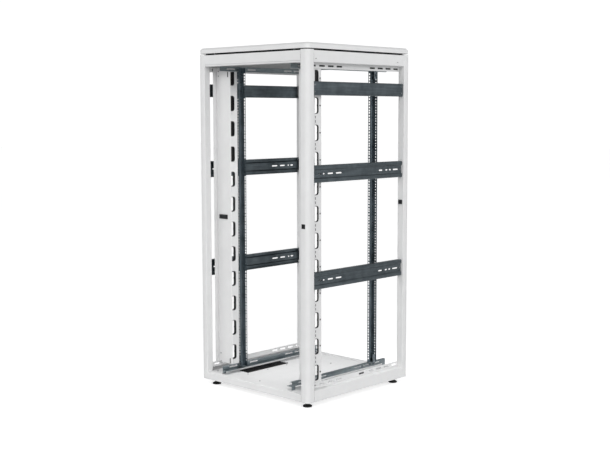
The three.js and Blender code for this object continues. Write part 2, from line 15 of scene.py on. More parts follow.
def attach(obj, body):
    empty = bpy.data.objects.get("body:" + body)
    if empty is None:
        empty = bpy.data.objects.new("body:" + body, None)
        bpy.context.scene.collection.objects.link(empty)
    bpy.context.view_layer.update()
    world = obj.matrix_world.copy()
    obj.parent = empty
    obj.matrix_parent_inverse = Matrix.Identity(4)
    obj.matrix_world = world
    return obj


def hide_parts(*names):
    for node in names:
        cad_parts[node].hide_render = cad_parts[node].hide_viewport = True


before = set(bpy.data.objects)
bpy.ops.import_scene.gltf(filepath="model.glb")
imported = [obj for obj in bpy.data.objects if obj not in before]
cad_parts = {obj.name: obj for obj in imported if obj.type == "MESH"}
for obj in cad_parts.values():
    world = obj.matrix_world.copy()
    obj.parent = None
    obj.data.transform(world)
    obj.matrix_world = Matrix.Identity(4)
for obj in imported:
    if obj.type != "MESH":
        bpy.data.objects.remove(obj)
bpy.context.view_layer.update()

MM = 0.001
SHEET = 2.0
GAP = 0.3
BEND = 2.6

# frame: half its width and depth, its lowest and highest level, and its corners as
# (side, end, quarter turns from the front left one)
HALF = 400.0
LOW = 33.0
HIGH = 1782.0
CORNERS = {
    "front_left": (-1, -1, 0),
    "front_right": (1, -1, 1),
    "rear_right": (1, 1, 2),
    "rear_left": (-1, 1, 3),
}
SIDES = {"left": -1, "right": 1}
ENDS = {"front": -1, "rear": 1}

# posts: rounded by POST_RADIUS outside, POST_EDGE where beams meet them, POST_BEND at the chamfer
POST = 48.0
POST_CHAMFER = 12.0
POST_RADIUS = 28.0
POST_BEND = 4.0
POST_EDGE = 3.5
POST_RISE = 4.0

# beams; a flange slot is (distance from the middle, length)
BEAM_HALF = HALF - POST - GAP
BEAM_INNER = 365.0
TOP_FACE = 49.0
TOP_LIP_DROP = 10.0
TOP_LIP_BACK = 4.0
LOW_FACE = 40.0
SIDE_FACE = 59.0
SIDE_FLANGE = 28.0
FLANGE_SLOTS = ((129.0, 42.0), (193.3, 42.0), (257.6, 42.0), (320.9, 36.0))
FLANGE_SLOT_WIDTH = 9.0
FACE_HOLE = 7.0
FACE_HOLE_DROP = 41.0
FACE_HOLES_Y = (-338.0, 296.0)
LEDGE_SLOT = (16.0, 40.0)
LEDGE_SLOT_Y = -262.0
# black blocks in flange slots; the ones in the top beams are painted shade
FILL_WIDTH = 8.4
FILL_PLAY = 0.8
LOW_PLUG_Y = 50.0
LOW_PLUG_LENGTH = 39.0

# lock plates: size as (width, height, thickness)
LOCK_PLATE = (62.0, 23.0, 5.0)
LOCK_PLATE_X = -311.0
LOCK_PLATE_LOW = LOW + 877.0
FRONT_STRIKE = (24.0, 23.0, 8.0)
FRONT_STRIKE_X = 370.0
FRONT_STRIKE_LOW = LOW + 876.5
REAR_STRIKE = (24.0, 23.0, 5.0)
REAR_STRIKE_X = 380.0
REAR_STRIKE_LOW = LOW + 955.0
STRIKE_PLAY = 0.4

# roof
ROOF_LOW = HIGH + 9.0
ROOF_EDGE = ROOF_LOW + 19.0
ROOF_TOP = ROOF_EDGE + 10.0
ROOF_BEVEL = 13.5
SPACER_X = 290.0
SPACER_Y = 378.3
# painted shade: black strips at these distances from the middle darken the gap under the roof cover
GAP_SHADE_OUTER = 371.0
GAP_SHADE_INNER = 366.0

# depth rails
DEPTH_OUTER = 262.0
DEPTH_INNER = 247.5
DEPTH_LEDGE = 226.0
DEPTH_HALF = 372.0
DEPTH_LOW = LOW + 58.0
DEPTH_HEIGHT = 25.0
DEPTH_HIGH = HIGH - SIDE_FACE - GAP - DEPTH_HEIGHT
DEPTH_SLOTS_Y = (-294.0, -217.0, -140.0, 140.0, 217.0, 294.0)
DEPTH_SLOT = (9.0, 62.0)
DEPTH_FOOT = 24.0

# mounting rails; holes are given by their size and their place across the rail
UNIT = 44.45
UNITS = 36
UNIT_HOLES = (6.35, 22.225, 38.1)
RAIL_INNER = 225.0
RAIL_WEB = 245.0
RAIL_OUTER = 267.0
RAIL_STEP = 26.0
RAIL_FACE = {"front": 223.0, "rear": 264.0}
RAIL_LOW = DEPTH_LOW + DEPTH_HEIGHT + GAP
RAIL_HIGH = DEPTH_HIGH - GAP
RAIL_MIDDLE = (RAIL_LOW + RAIL_HIGH) / 2
RAIL_HALF = UNITS / 2 * UNIT + 10.5
RAIL_SQUARE = 9.5
RAIL_SQUARE_X = 232.55
RAIL_FLANGE_HOLE = (7.0, 8.0)
RAIL_FLANGE_HOLE_X = 256.5
RAIL_WEB_HOLE = (5.5, 5.5)
RAIL_WEB_SLOT = (9.0, 5.5)
RAIL_HOLE_MARGIN = 8.0

# clamps of the mounting rails
CLAMP_HEIGHT = 65.0
CLAMP_DEPTH = 22.0
CLAMP_SLOT = (8.0, 16.0)
CLAMP_SLOT_SET_BACK = 13.0

# side bars; a slot of a hat bar is (place along the bar, length)
BAR_HALF = 351.5
PLAIN_BAR = (LOW + 1531.0, LOW + 1599.0)
PLAIN_OUTER = 392.0
PLAIN_INNER = 377.0
PLAIN_SCREW_Y = 339.0
HAT_LEVELS = {"middle": LOW + 1101.0, "lower": LOW + 567.0}
HAT_HEIGHT = 86.0
HAT_OUTER = 390.0
HAT_GROOVE = 384.0
HAT_INNER = 365.0
HAT_FLAT = 18.0
HAT_SLOPE = 6.0
HAT_END = 62.0
HAT_SCREW_Y = 340.0
HAT_SLOT_WIDTH = 7.0
HAT_SLOTS = (
    (-293, 22), (-265, 12), (-215.5, 40), (-153, 44),
    (178, 30), (226, 18), (255.5, 17), (301.5, 43),
)

# ducts
DUCT_INNER = 252.0
DUCT_OUTER = 360.0
DUCT_FACE = 308.0
DUCT_REAR = 258.0
DUCT_LIP = 334.0
DUCT_LOW = RAIL_LOW
DUCT_HIGH = LOW + 1687.0
DUCT_SCREW_X = 344.0
DUCT_SCREWS_Z = (LOW + 88.0, LOW + 133.0, DUCT_HIGH - 45.0, DUCT_HIGH - 20.0)
NOTCH_HIGH = RAIL_HIGH
NOTCH_X = DUCT_INNER + 24.0
SLIT_X = (267.0, 275.0)
SLIT_LENGTH = 30.0
WINDOWS = 12
WINDOW_PITCH = 134.5
WINDOW_MIDDLE = {"left": LOW + 891.0, "right": LOW + 876.0}
WINDOW_FRONT = -304.6
WINDOW_REAR = -278.7
WINDOW_HALF = 40.0
WINDOW_RADIUS = 20.0
RIVET_Y = -267.0
RIVET_HOLE = 6.0
DASH_Y = -300.5
DASH_RISE = 10.5
DASH = (4.0, 12.0)

# floor; an opening is (x0, x1, y0, y1)
FLOOR_TOP = LOW + LOW_FACE
FLOOR_X = 362.5
FLOOR_Y = 364.5
FLOOR_CORNER = 13.0
FLOOR_SPLIT = 226.0
ENTRY = (-300.0, -152.0, -287.0, 165.0)
BRUSH = (-250.0, -183.0, -257.0, 53.0)
ENTRY_SCREWS = ((-292.0, -160.0), (-279.0, -130.0, 20.0, 157.0))
FLOOR_SCREWS = ((-330.0, 0.0, 330.0), (-345.0, 212.0))

# corner plates and levelling feet
PLATE_EDGE = SHEET + GAP
PLATE_REACH = 110.0
PLATE_LOW = LOW + PLATE_EDGE
PLATE_HIGH = PLATE_LOW + 4.0
PLATE_BOLTS = ((90.0, 20.0), (20.0, 90.0), (92.0, 92.0))
FOOT = 342.0
STUD_RADIUS = 6.0
STUD_LOW = 9.3
STUD_TOP = LOW + 34.0
PITCH = 1.75


# ---------- mesh helpers: a shell is (vertices, faces), in millimetres ----------


def shell_of(bm):
    bm.verts.index_update()
    shell = ([v.co.copy() for v in bm.verts], [[v.index for v in f.verts] for f in bm.faces])
    bm.free()
    return shell


def moved(shell, matrix):
    vertices, faces = shell
    return [matrix @ Vector(v) for v in vertices], faces


def turned(shell, quarters):
    return moved(shell, Matrix.Rotation(quarters * math.pi / 2, 4, "Z"))


def shifted(shell, x, y, z):
    return moved(shell, Matrix.Translation((x, y, z)))


def piece(name, shells, material, body="frame", nodes=()):
    """One object from one or more closed shells; it rides on a body and stands for CAD nodes."""
    bm = bmesh.new()
    for vertices, faces in shells:
        made = [bm.verts.new(Vector(v) * MM) for v in vertices]
        for face in faces:
            bm.faces.new([made[i] for i in face])
    bmesh.ops.remove_doubles(bm, verts=bm.verts, dist=1e-7)
    bmesh.ops.recalc_face_normals(bm, faces=bm.faces)
    mesh = bpy.data.meshes.new(name)
    bm.to_mesh(mesh)
    bm.free()
    mesh.materials.append(material)
    mesh.shade_smooth()
    mesh.set_sharp_from_angle(angle=math.radians(35))
    obj = bpy.data.objects.new(name, mesh)
    bpy.context.scene.collection.objects.link(obj)
    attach(obj, body)
    if nodes:
        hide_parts(*nodes)
    return obj


def node_piece(node, shells, material, body="frame"):
    """The piece that stands for one CAD node and is named after it."""
    return piece(f"{node}_visual", shells, material, body, [node])


def block(xs, ys, zs, bevel=0.6):
    """A box with rounded edges."""
    lows = [min(p) for p in (xs, ys, zs)]
    highs = [max(p) for p in (xs, ys, zs)]
    bm = bmesh.new()
    bmesh.ops.create_cube(bm, size=1.0)
    for v in bm.verts:
        v.co = [lo + (c + 0.5) * (hi - lo) for c, lo, hi in zip(v.co, lows, highs)]
    if bevel:
        bmesh.ops.bevel(bm, geom=bm.edges[:], offset=bevel, segments=2, profile=0.5, affect="EDGES")
    return shell_of(bm)


def lathe(profile, count=32):
    """A solid of revolution about Z; the profile runs from the axis to the axis."""
    vertices = []
    faces = []
    rings = []
    for r, z in profile:
        if r == 0:
            rings.append([len(vertices)] * count)
            vertices.append((0, 0, z))
        else:
            start = len(vertices)
            rings.append([start + i for i in range(count)])
            for i in range(count):
                a = 2 * math.pi * i / count
                vertices.append((r * math.cos(a), r * math.sin(a), z))
    for low, high in zip(rings, rings[1:]):
        for i in range(count):
            j = (i + 1) % count
            face = list(dict.fromkeys((low[i], low[j], high[j], high[i])))
            if len(face) > 2:
                faces.append(face)
    return vertices, faces


def inside(point, loop):
    x, y = point
    odd = False
    for (x0, y0), (x1, y1) in zip(loop, loop[1:] + loop[:1]):
        if (y0 > y) != (y1 > y) and x < x0 + (y - y0) * (x1 - x0) / (y1 - y0):
            odd = not odd
    return odd


def pattern(outline, lines, holes):
    """Triangles of a flat outline with lines drawn across it and holes left out."""
    points = []
    edges = []
    for loop in [outline, *holes]:
        first = len(points)
        points += [Vector(p) for p in loop]
        edges += [(first + i, first + (i + 1) % len(loop)) for i in range(len(loop))]
    for a, b in lines:
        edges.append((len(points), len(points) + 1))
        points += [Vector(a), Vector(b)]
    flat, _, triangles = delaunay_2d_cdt(points, edges, [], 0, 1e-4)[:3]
    boxes = []
    for loop in holes:
        xs, ys = zip(*loop)
        boxes.append((min(xs), max(xs), min(ys), max(ys), loop))
    kept = []
    for triangle in triangles:
        x = sum(flat[i][0] for i in triangle) / 3
        y = sum(flat[i][1] for i in triangle) / 3
        if not inside((x, y), outline):
            continue
        if any(a < x < b and c < y < d and inside((x, y), loop) for a, b, c, d, loop in boxes):
            continue
        kept.append(list(triangle))
    return flat, kept


def thickened(flat, triangles, place):
    """A closed shell from a flat pattern; place(u, v, side) gives its two faces."""
    count = len(flat)
    vertices = [place(u, v, 1) for u, v in flat] + [place(u, v, -1) for u, v in flat]
    faces = [list(t) for t in triangles] + [[i + count for i in reversed(t)] for t in triangles]
    uses = {}
    for t in triangles:
        for a, b in zip(t, t[1:] + t[:1]):
            uses[(a, b)] = True
    for a, b in uses:
        if (b, a) not in uses:
            faces.append([b, a, a + count, b + count])
    used = sorted({i for f in faces for i in f})
    number = {old: new for new, old in enumerate(used)}
    return [vertices[i] for i in used], [[number[i] for i in f] for f in faces]


def rounded(points, radii, closed, steps=5):
    """A path with each corner rounded by its own radius."""
    count = len(points)
    out = []
    for i, here in enumerate(points):
        p = Vector(here)
        if not closed and i in (0, count - 1):
            out.append(p)
            continue
        before = Vector(points[i - 1])
        after = Vector(points[(i + 1) % count])
        t0 = (p - before).normalized()
        t1 = (after - p).normalized()
        turn = math.atan2(t0.x * t1.y - t0.y * t1.x, t0.dot(t1))
        if abs(turn) < 1e-4:
            out.append(p)
            continue
        half = math.tan(abs(turn) / 2)
        reach = min(radii[i] * half, 0.48 * (p - before).length, 0.48 * (after - p).length)
        radius = reach / half
        side = Vector((t0.y, -t0.x)) * (1 if turn > 0 else -1)
        start = p - t0 * reach
        centre = start - side * radius
        for k in range(steps + 1):
            arm = Matrix.Rotation(turn * k / steps, 2) @ side
            out.append(centre + arm * radius)
    return out


def mitred(points, distance):
    """An open path moved to its left."""
    path = [Vector(p) for p in points]
    normals = []
    for a, b in zip(path, path[1:]):
        t = (b - a).normalized()
        normals.append(Vector((-t.y, t.x)))
    out = []
    for i, p in enumerate(path):
        before = normals[max(i - 1, 0)]
        after = normals[min(i, len(normals) - 1)]
        out.append(p + (before + after) * (distance / (1 + before.dot(after))))
    return out


def upright(a, b, v):
    return a, b, v


def along_x(a, b, v):
    return v, a, b


def along_y(a, b, v):
    return a, v, b


def folded(path, length, place, holes=(), thickness=SHEET, radius=BEND, bite=None):
    """Bent sheet metal: an open path thickened to its left and run along a length.

    A hole is (wall, outline): the wall is a segment of the path, and each point of the outline is
    (position along that wall's main axis, position along the length). A bite is (wall, position,
    level): above the level the sheet only starts at that position.
    """
    middle = mitred(path, thickness / 2)
    samples = rounded(middle, [radius] * len(middle), False)
    along = [0.0]
    for a, b in zip(samples, samples[1:]):
        along.append(along[-1] + (b - a).length)
    normals = []
    for i in range(len(samples)):
        a = samples[max(i - 1, 0)]
        b = samples[min(i + 1, len(samples) - 1)]
        t = (b - a).normalized()
        normals.append(Vector((-t.y, t.x)))

    def to_u(wall, position):
        start, end = middle[wall], middle[wall + 1]
        direction = (end - start).normalized()
        axis = 0 if abs(direction.x) > abs(direction.y) else 1
        point = start + direction * ((position - start[axis]) / direction[axis])
        best = None
        for i, (a, b) in enumerate(zip(samples, samples[1:])):
            span = b - a
            along_part = max(0.0, min(1.0, (point - a).dot(span) / span.length_squared))
            miss = (a + span * along_part - point).length
            if best is None or miss < best[0]:
                best = (miss, along[i] + along_part * span.length)
        return best[1]

    v0, v1 = length
    start = to_u(bite[0], bite[1]) if bite else 0.0
    width = [start, *(u for u in along if u > start)]
    outline = [(u, v0) for u in along] + [(u, v1) for u in reversed(width)]
    if bite:
        outline += [(start, bite[2]), (0.0, bite[2])]
    lines = [((u, v0), (u, v1)) for u in along[1:-1]]
    loops = [[(to_u(wall, p), v) for p, v in loop] for wall, loop in holes]
    flat, triangles = pattern(outline, lines, loops)
    half = abs(thickness) / 2

    def at(u, v, side):
        i = 0
        while i < len(along) - 2 and u > along[i + 1]:
            i += 1
        part = (u - along[i]) / (along[i + 1] - along[i])
        p = samples[i].lerp(samples[i + 1], part)
        n = normals[i].lerp(normals[i + 1], part)
        q = p + n * (half * side)
        return Vector(place(q.x, q.y, v))

    return thickened(flat, triangles, at)


def plate(outline, levels, holes=()):
    """A flat plate between two Z levels."""
    low, high = levels
    flat, triangles = pattern(outline, [], list(holes))
    return thickened(flat, triangles, lambda u, v, side: Vector((u, v, high if side > 0 else low)))


def bands(rings, count, closed=False):
    """Faces between neighbouring rings of count points each; closed joins the last to the first."""
    faces = []
    for ring in range(rings if closed else rings - 1):
        a, b = ring * count, (ring + 1) % rings * count
        for i in range(count):
            j = (i + 1) % count
            faces.append([a + i, a + j, b + j, b + i])
    return faces


def tube(outer, inner, levels):
    """An upright tube between two outlines of equal point count."""
    low, high = levels
    rings = ((outer, low), (outer, high), (inner, high), (inner, low))
    vertices = [(x, y, z) for ring, z in rings for x, y in ring]
    return vertices, bands(len(rings), len(outer), closed=True)


def rectangle(x0, x1, y0, y1):
    return [(x0, y0), (x1, y0), (x1, y1), (x0, y1)]


def slot(centre, size, steps=6):
    """A slot with rounded ends; equal sizes make a round hole."""
    (x, y), (width, height) = centre, size
    r = min(width, height) / 2
    across, up = width / 2 - r, height / 2 - r
    points = []
    for k in range(4 * steps):
        a = 2 * math.pi * (k + 0.5) / (4 * steps)
        sx = 1 if math.cos(a) > 0 else -1
        sy = 1 if math.sin(a) > 0 else -1
        points.append((x + sx * across + r * math.cos(a), y + sy * up + r * math.sin(a)))
    return points


AXES = {
    "x": Matrix.Rotation(math.pi / 2, 4, "Y"),
    "-x": Matrix.Rotation(-math.pi / 2, 4, "Y"),
    "y": Matrix.Rotation(-math.pi / 2, 4, "X"),
    "-y": Matrix.Rotation(math.pi / 2, 4, "X"),
    "z": Matrix.Identity(4),
    "-z": Matrix.Rotation(math.pi, 4, "X"),
}


OUTWARD = {-1: "-x", 1: "x"}


def aimed(shell, at, axis):
    return moved(shell, Matrix.Translation(at) @ AXES[axis])


def screw(at, axis, radius=4.5, height=2.4):
    """A round screw head with a socket."""
    return aimed(lathe([
        (0, 0), (radius, 0), (radius, height * 0.35), (radius * 0.86, height * 0.8),
        (radius * 0.6, height), (radius * 0.42, height), (radius * 0.38, height * 0.3), (0, height * 0.2),
    ], 16), at, axis)


def hex_bolt(at, axis, radius=6.5, height=4.0):
    """A hexagon bolt head on a washer."""
    washer = lathe([(0, 0), (radius * 1.35, 0), (radius * 1.35, 1.2), (0, 1.2)], 20)
    top = height + 1
    head = lathe([(0, 1.0), (radius, 1.0), (radius, top - 0.6), (radius * 0.86, top), (0, top)], 6)
    return [aimed(washer, at, axis), aimed(head, at, axis)]


# ---------- materials ----------


def node_material(name):
    material = bpy.data.materials.new(name)
    material.use_nodes = True
    tree = material.node_tree
    shader = tree.nodes["Principled BSDF"]
    return material, tree, shader


def noise(tree, scale, detail=2.0, stretch=None):
    """A noise texture in object space, in metres; stretch draws it out along an axis."""
    coordinates = tree.nodes.new("ShaderNodeTexCoord")
    texture = tree.nodes.new("ShaderNodeTexNoise")
    texture.inputs["Scale"].default_value = scale
    texture.inputs["Detail"].default_value = detail
    source = coordinates.outputs["Object"]
    if stretch:
        mapping = tree.nodes.new("ShaderNodeMapping")
        mapping.inputs["Scale"].default_value = stretch
        tree.links.new(source, mapping.inputs["Vector"])
        source = mapping.outputs["Vector"]
    tree.links.new(source, texture.inputs["Vector"])
    return texture.outputs["Fac"]


def ramp(tree, factor, stops):
    node = tree.nodes.new("ShaderNodeValToRGB")
    elements = node.color_ramp.elements
    while len(elements) < len(stops):
        elements.new(0.5)
    for element, (position, colour) in zip(elements, stops):
        element.position = position
        element.color = (*colour, 1.0)
    tree.links.new(factor, node.inputs["Fac"])
    return node.outputs["Color"]


def multiplied(tree, first, second):
    mix = tree.nodes.new("ShaderNodeMix")
    mix.data_type = "RGBA"
    mix.blend_type = "MULTIPLY"
    mix.inputs["Factor"].default_value = 1.0
    tree.links.new(first, mix.inputs["A"])
    tree.links.new(second, mix.inputs["B"])
    return mix.outputs["Result"]


def grey(value):
    return (value, value, value)


def bump(tree, shader, factor, strength, distance):
    node = tree.nodes.new("ShaderNodeBump")
    node.inputs["Strength"].default_value = strength
    node.inputs["Distance"].default_value = distance
    tree.links.new(factor, node.inputs["Height"])
    tree.links.new(node.outputs["Normal"], shader.inputs["Normal"])


def coloured(tree, shader, tint, gloss):
    tree.links.new(tint, shader.inputs["Base Color"])
    tree.links.new(gloss, shader.inputs["Roughness"])


def powder_coat(name, light, dark):
    material, tree, shader = node_material(name)
    tint = ramp(tree, noise(tree, 14.0, 4.0), [(0.3, dark), (0.7, light)])
    gloss = ramp(tree, noise(tree, 60.0), [(0.35, grey(0.36)), (0.65, grey(0.46))])
    coloured(tree, shader, tint, gloss)
    bump(tree, shader, noise(tree, 900.0, 3.0), 0.12, 0.0002)
    return material


def plated(name, light, dark, rough, stretch):
    """Plated steel: rolling streaks along the sheet and a cloudy passivation tint."""
    material, tree, shader = node_material(name)
    shader.inputs["Metallic"].default_value = 1.0
    cloud = ramp(tree, noise(tree, 22.0, 5.0), [(0.3, dark), (0.7, light)])
    streak = ramp(tree, noise(tree, 160.0, 3.0, stretch), [(0.3, grey(0.72)), (0.7, grey(1.0))])
    gloss = ramp(tree, noise(tree, 45.0, 4.0), [(0.3, grey(rough[0])), (0.7, grey(rough[1]))])
    coloured(tree, shader, multiplied(tree, cloud, streak), gloss)
    bump(tree, shader, noise(tree, 400.0, 2.0), 0.05, 0.0002)
    return material


def moulded(name, light, dark, rough, grain):
    material, tree, shader = node_material(name)
    tint = ramp(tree, noise(tree, 80.0, 3.0), [(0.3, dark), (0.7, light)])
    gloss = ramp(tree, noise(tree, 150.0), [(0.3, grey(rough - 0.06)), (0.7, grey(rough + 0.06))])
    coloured(tree, shader, tint, gloss)
    bump(tree, shader, noise(tree, grain, 3.0), 0.25, 0.0003)
    return material


# how far the rolling streaks of plated steel are drawn out along X, Y and Z
STREAK_Y = (1.0, 0.04, 1.0)
STREAK_Z = (1.0, 1.0, 0.04)
EVEN = (1.0, 1.0, 1.0)

# the light and the dark tint of each material
PAINT_TINTS = grey(0.755), grey(0.725)
ZINC_TINTS = (0.190, 0.222, 0.240), (0.125, 0.150, 0.165)
# painted light: the depth rails get this lighter copy of the zinc, which stands in for light falling on
# them from above
PAINTED_LIT_ZINC_TINTS = (0.46, 0.52, 0.54), (0.32, 0.37, 0.40)
UPRIGHT_TINTS = (0.24, 0.29, 0.32), (0.12, 0.155, 0.18)
BRIGHT_TINTS = (0.46, 0.52, 0.56), (0.34, 0.39, 0.43)
STEEL_TINTS = (0.50, 0.52, 0.53), (0.38, 0.40, 0.41)

PAINT = powder_coat("light_grey_powder_coat", *PAINT_TINTS)
ZINC = plated("zinc_plate_along", *ZINC_TINTS, (0.28, 0.46), STREAK_Y)
ZINC_PAINTED_LIT = plated("zinc_plate_painted_lit", *PAINTED_LIT_ZINC_TINTS, (0.28, 0.46), STREAK_Y)
ZINC_UPRIGHT = plated("zinc_plate_upright", *UPRIGHT_TINTS, (0.26, 0.4), STREAK_Z)
BRIGHT_ZINC = plated("zinc_plate_bright", *BRIGHT_TINTS, (0.24, 0.38), EVEN)
STEEL = plated("screw_steel", *STEEL_TINTS, (0.22, 0.34), EVEN)
BLACK = moulded("black_moulding_and_painted_shade", (0.018, 0.019, 0.021), (0.011, 0.012, 0.013), 0.5, 700.0)
RUBBER_AND_SHADE = moulded("black_rubber_and_painted_shade", (0.022, 0.022, 0.023), (0.012, 0.012, 0.012), 0.75, 500.0)
BRISTLE = moulded("black_bristle", (0.014, 0.014, 0.015), (0.006, 0.006, 0.006), 0.7, 900.0)


# ---------- corner posts ----------


def post_outline(inset):
    """The section of the front left post, moved inwards by an inset."""
    edge = POST_EDGE - inset * 0.8
    bend = POST_BEND - inset * 0.8
    radii = [edge, bend, bend, edge, POST_RADIUS - inset]
    k = inset * math.tan(math.pi / 8)
    a, b = POST - inset, POST - POST_CHAMFER
    points = [(a, inset), (a, b - k), (b - k, a), (inset, a), (inset, inset)]
    return [(p.x - HALF, p.y - HALF) for p in rounded(points, radii, True, 8)]


def post_shells():
    """The tube of the front left post and the plates that close its ends."""
    low, high = LOW, HIGH + POST_RISE
    plug = post_outline(SHEET + 0.05)
    wall = tube(post_outline(0), post_outline(SHEET), (low, high))
    return [wall, plate(plug, (high - 4, high - 1.2)), plate(plug, (low + 1, low + 4))]


def cut_away(obj, shell):
    """Subtract a closed shell from a piece."""
    vertices, faces = shell
    mesh = bpy.data.meshes.new("cutter")
    mesh.from_pydata([Vector(v) * MM for v in vertices], [], faces)
    cutter = bpy.data.objects.new("cutter", mesh)
    bpy.context.scene.collection.objects.link(cutter)
    modifier = obj.modifiers.new("cut", "BOOLEAN")
    modifier.operation = "DIFFERENCE"
    modifier.solver = "EXACT"
    modifier.object = cutter
    graph = bpy.context.evaluated_depsgraph_get()
    result = bpy.data.meshes.new_from_object(obj.evaluated_get(graph))
    obj.modifiers.clear()
    obj.data = result
    bpy.data.objects.remove(cutter)


def strike_pocket():
    """The pocket in the front right post for its lock strike."""
    width, height, depth = FRONT_STRIKE
    half = width / 2 + STRIKE_PLAY
    xs = (FRONT_STRIKE_X - half, FRONT_STRIKE_X + half)
    zs = (FRONT_STRIKE_LOW - STRIKE_PLAY, FRONT_STRIKE_LOW + height + STRIKE_PLAY)
    return block(xs, (-HALF - 5, -HALF + depth), zs, 0)


post = post_shells()
for corner, (_, _, quarters) in CORNERS.items():
    shells = [turned(s, quarters) for s in post]
    made = node_piece(f"post_{corner}", shells, PAINT)
    if corner == "front_right":
        cut_away(made, strike_pocket())


# ---------- beams ----------


def front_top_beam():
    face_low = HIGH - TOP_FACE
    low = face_low - TOP_LIP_DROP
    lip = -HALF + TOP_LIP_BACK
    path = [(-BEAM_INNER, low), (lip, low), (lip, face_low - 2), (-HALF, face_low), (-HALF, HIGH),
            (-BEAM_INNER, HIGH)]
    return folded(path, (-BEAM_HALF, BEAM_HALF), along_x, thickness=-SHEET, radius=2.0)


def front_bottom_beam():
    high = LOW + LOW_FACE
    path = [(-BEAM_INNER, LOW), (-HALF, LOW), (-HALF, high), (-BEAM_INNER, high)]
    return folded(path, (-BEAM_HALF, BEAM_HALF), along_x, thickness=-SHEET)


def flange_slots(level):
    return [(0, slot((level, end * middle), (FLANGE_SLOT_WIDTH, length)))
            for middle, length in FLANGE_SLOTS for end in (-1, 1)]


def side_top_beam():
    low = HIGH - SIDE_FACE
    path = [(BEAM_INNER, low - SIDE_FLANGE), (BEAM_INNER, low), (HALF, low), (HALF, HIGH),
            (BEAM_INNER, HIGH)]
    holes = flange_slots(low - SIDE_FLANGE / 2)
    holes += [(2, slot((HIGH - FACE_HOLE_DROP, y), (FACE_HOLE, FACE_HOLE))) for y in FACE_HOLES_Y]
    return folded(path, (-BEAM_HALF, BEAM_HALF), along_y, holes)


def side_bottom_beam():
    high = LOW + SIDE_FACE
    path = [(BEAM_INNER, high + SIDE_FLANGE), (BEAM_INNER, high), (HALF, high), (HALF, LOW),
            (BEAM_INNER, LOW)]
    holes = flange_slots(high + SIDE_FLANGE / 2)
    holes.append((1, slot(((BEAM_INNER + HALF) / 2, LEDGE_SLOT_Y), LEDGE_SLOT)))
    return folded(path, (-BEAM_HALF, BEAM_HALF), along_y, holes, thickness=-SHEET)


for level, front_shell, side_shell in (
    ("top", front_top_beam(), side_top_beam()),
    ("bottom", front_bottom_beam(), side_bottom_beam()),
):
    for near, far, shell in (("front", "rear", front_shell), ("right", "left", side_shell)):
        node_piece(f"{level}_beam_{near}", [shell], PAINT)
        node_piece(f"{level}_beam_{far}", [turned(shell, 2)], PAINT)


def flange_fill(sign, middle, length, level, depths):
    """A black block in a slot of a side beam's flange, between two depths from its inner face."""
    xs = [sign * (BEAM_INNER + depth) for depth in depths]
    ys = (middle - length / 2, middle + length / 2)
    return block(xs, ys, (level - FILL_WIDTH / 2, level + FILL_WIDTH / 2))


top_level = HIGH - SIDE_FACE - SIDE_FLANGE / 2
low_level = LOW + SIDE_FACE + SIDE_FLANGE / 2
# painted shade: black blocks fill the top flange slots, which show the shaded top of the rack
piece("top_beam_painted_shade_fills", [
    flange_fill(sign, end * middle, length - FILL_PLAY, top_level, (0.2, -1.8))
    for sign in (-1, 1) for middle, length in FLANGE_SLOTS for end in (-1, 1)
], BLACK)
piece("bottom_beam_plugs", [
    flange_fill(sign, sign * LOW_PLUG_Y, LOW_PLUG_LENGTH, low_level, (0.8, -1.0)) for sign in (-1, 1)
], BLACK)


# ---------- roof ----------


def roof_ring(inset, z, steps=8):
    """The cover's outline with its rounded corners, moved inwards by an inset."""
    corner = HALF - POST_RADIUS
    r = POST_RADIUS - inset
    points = []
    for cx, cy, start in ((1, 1, 0), (-1, 1, 1), (-1, -1, 2), (1, -1, 3)):
        for k in range(steps + 1):
            a = (start + k / steps) * math.pi / 2
            points.append((cx * corner + r * math.cos(a), cy * corner + r * math.sin(a), z))
    return points


def roof_shell():
    """The cover as rings of (inset, level), from its ceiling down inside and up outside."""
    profile = [
        (ROOF_BEVEL - 0.5, ROOF_TOP - SHEET), (SHEET, ROOF_EDGE - 1), (SHEET, ROOF_LOW),
        (0.0, ROOF_LOW), (0.0, ROOF_EDGE - 1.2), (0.7, ROOF_EDGE + 0.4),
        (ROOF_BEVEL - 2.3, ROOF_TOP - 0.6), (ROOF_BEVEL, ROOF_TOP),
    ]
    rings = [roof_ring(inset, z) for inset, z in profile]
    count = len(rings[0])
    vertices = [p for ring in rings for p in ring]
    ends = [[first * count + i for i in range(count)] for first in (0, len(rings) - 1)]
    return vertices, [*ends, *bands(len(rings), count)]


node_piece("roof_cover", [roof_shell()], PAINT)
spacer_low, spacer_high = HIGH + GAP, ROOF_TOP - SHEET - GAP
spacer = lathe([(0, spacer_low), (6.0, spacer_low), (6.0, spacer_high), (0, spacer_high)])
for corner, (sx, sy, _) in CORNERS.items():
    node_piece(f"roof_spacer_{corner}", [shifted(spacer, sx * SPACER_X, sy * SPACER_Y, 0)], STEEL)


def roof_gap_shade():
    """Black strips that fill the gap between the frame and the roof cover, behind the spacers: painted
    shade of the gap.
    """
    ys = (-GAP_SHADE_OUTER, -GAP_SHADE_INNER)
    step = HIGH + POST_RISE + GAP
    shells = []
    for quarters in range(4):
        over_posts = block((-GAP_SHADE_OUTER, GAP_SHADE_INNER - 0.5), ys, (step, spacer_high), 0.4)
        over_beam = block((-BEAM_HALF, BEAM_HALF), ys, (spacer_low, step + 1), 0.4)
        shells += [turned(over_posts, quarters), turned(over_beam, quarters)]
    return shells


piece("roof_gap_shade", roof_gap_shade(), RUBBER_AND_SHADE)


# ---------- depth rails, mounting rails and clamps ----------


